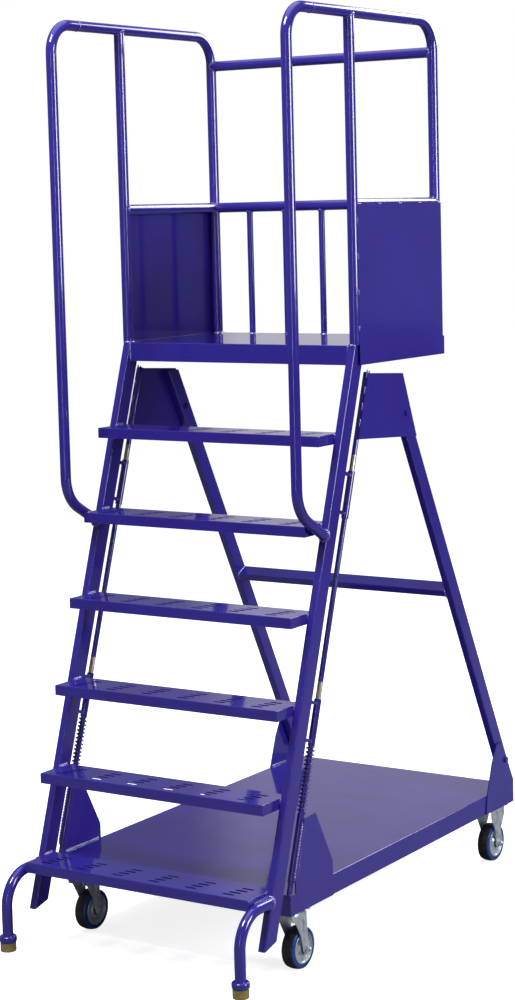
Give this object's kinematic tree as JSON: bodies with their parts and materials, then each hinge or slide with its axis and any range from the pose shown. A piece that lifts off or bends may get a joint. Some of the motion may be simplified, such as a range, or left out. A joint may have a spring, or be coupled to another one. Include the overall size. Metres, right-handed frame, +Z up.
{
  "type": "platform_step_ladder",
  "caption": "Sprung platform step ladder: steel steps with a railed platform slide on guide rods over a wheeled load deck",
  "frame": {"origin": "on the floor, in the middle of the footprint", "axes": "+Z up; +Y from the steps towards the back of the platform; +X to the right of a person climbing"},
  "size_m": [0.874, 1.6609, 2.756],
  "materials": {
    "blue_paint": "gloss",
    "spring_steel": "gloss",
    "zinc": "satin",
    "cap_plastic": "gloss",
    "wheel_plastic": "satin",
    "tyre_rubber": "matte"
  },
  "bodies": {
    "base": {"deck_tray": "blue_paint", "castor_beams": "blue_paint", "front_gusset_left": "blue_paint", "front_gusset_right": "blue_paint", "spring_seat_tubes": "blue_paint", "guide_rods": "blue_paint", "spring_left": "spring_steel", "spring_right": "spring_steel", "top_gusset_left": "blue_paint", "top_gusset_right": "blue_paint", "back_leg_left": "blue_paint", "back_leg_right": "blue_paint", "crossbar": "blue_paint", "back_bracket_left": "blue_paint", "back_bracket_right": "blue_paint", "leg_fixings": "blue_paint", "castor_fixings": "zinc", "front_castor_plates": "zinc", "back_castor_forks": "zinc", "back_castor_axles": "zinc"},
    "ladder": {"stringer_left": "blue_paint", "stringer_right": "blue_paint", "tread_1": "blue_paint", "tread_2": "blue_paint", "tread_3": "blue_paint", "tread_4": "blue_paint", "tread_5": "blue_paint", "tread_6": "blue_paint", "platform": "blue_paint", "side_panel_left": "blue_paint", "side_panel_right": "blue_paint", "handrail_left": "blue_paint", "handrail_right": "blue_paint", "platform_posts": "blue_paint", "side_mid_rails": "blue_paint", "back_top_rail": "blue_paint", "back_mid_rail": "blue_paint", "balusters": "blue_paint", "foot_tube_left": "blue_paint", "foot_tube_right": "blue_paint", "foot_collars": "blue_paint", "foot_caps": "cap_plastic", "guide_sleeves": "blue_paint", "sleeve_tabs": "blue_paint"},
    "front_castor_left": {"front_castor_fork_left": "zinc", "front_castor_axle_left": "zinc"},
    "front_wheel_left": {"wheel_core_front_left": "wheel_plastic", "tyre_front_left": "tyre_rubber", "wheel_covers_front_left": "zinc"},
    "back_wheel_left": {"wheel_core_back_left": "wheel_plastic", "tyre_back_left": "tyre_rubber", "wheel_covers_back_left": "zinc"},
    "front_castor_right": {"front_castor_fork_right": "zinc", "front_castor_axle_right": "zinc"},
    "front_wheel_right": {"wheel_core_front_right": "wheel_plastic", "tyre_front_right": "tyre_rubber", "wheel_covers_front_right": "zinc"},
    "back_wheel_right": {"wheel_core_back_right": "wheel_plastic", "tyre_back_right": "tyre_rubber", "wheel_covers_back_right": "zinc"}
  },
  "joints": [
    {"name": "ladder_slide", "type": "slide", "parent": "base", "child": "ladder", "axis": [0, -0.3192, -0.9477], "range_m": [0, 0.03166], "stiffness_N_per_m": 14000, "springref_m": -0.06, "deforming": ["spring_left", "spring_right"]},
    {"name": "front_swivel_left", "type": "hinge", "parent": "base", "child": "front_castor_left", "pos_m": [-0.374, -0.4905, 0.17], "axis": [0, 0, 1], "continuous": true},
    {"name": "front_wheel_spin_left", "type": "hinge", "parent": "front_castor_left", "child": "front_wheel_left", "pos_m": [-0.374, -0.4505, 0.0625], "axis": [1, 0, 0], "continuous": true},
    {"name": "back_wheel_spin_left", "type": "hinge", "parent": "base", "child": "back_wheel_left", "pos_m": [-0.374, 0.7595, 0.0625], "axis": [1, 0, 0], "continuous": true},
    {"name": "front_swivel_right", "type": "hinge", "parent": "base", "child": "front_castor_right", "pos_m": [0.374, -0.4905, 0.17], "axis": [0, 0, 1], "continuous": true},
    {"name": "front_wheel_spin_right", "type": "hinge", "parent": "front_castor_right", "child": "front_wheel_right", "pos_m": [0.374, -0.4505, 0.0625], "axis": [1, 0, 0], "continuous": true},
    {"name": "back_wheel_spin_right", "type": "hinge", "parent": "base", "child": "back_wheel_right", "pos_m": [0.374, 0.7595, 0.0625], "axis": [1, 0, 0], "continuous": true}
  ]
}
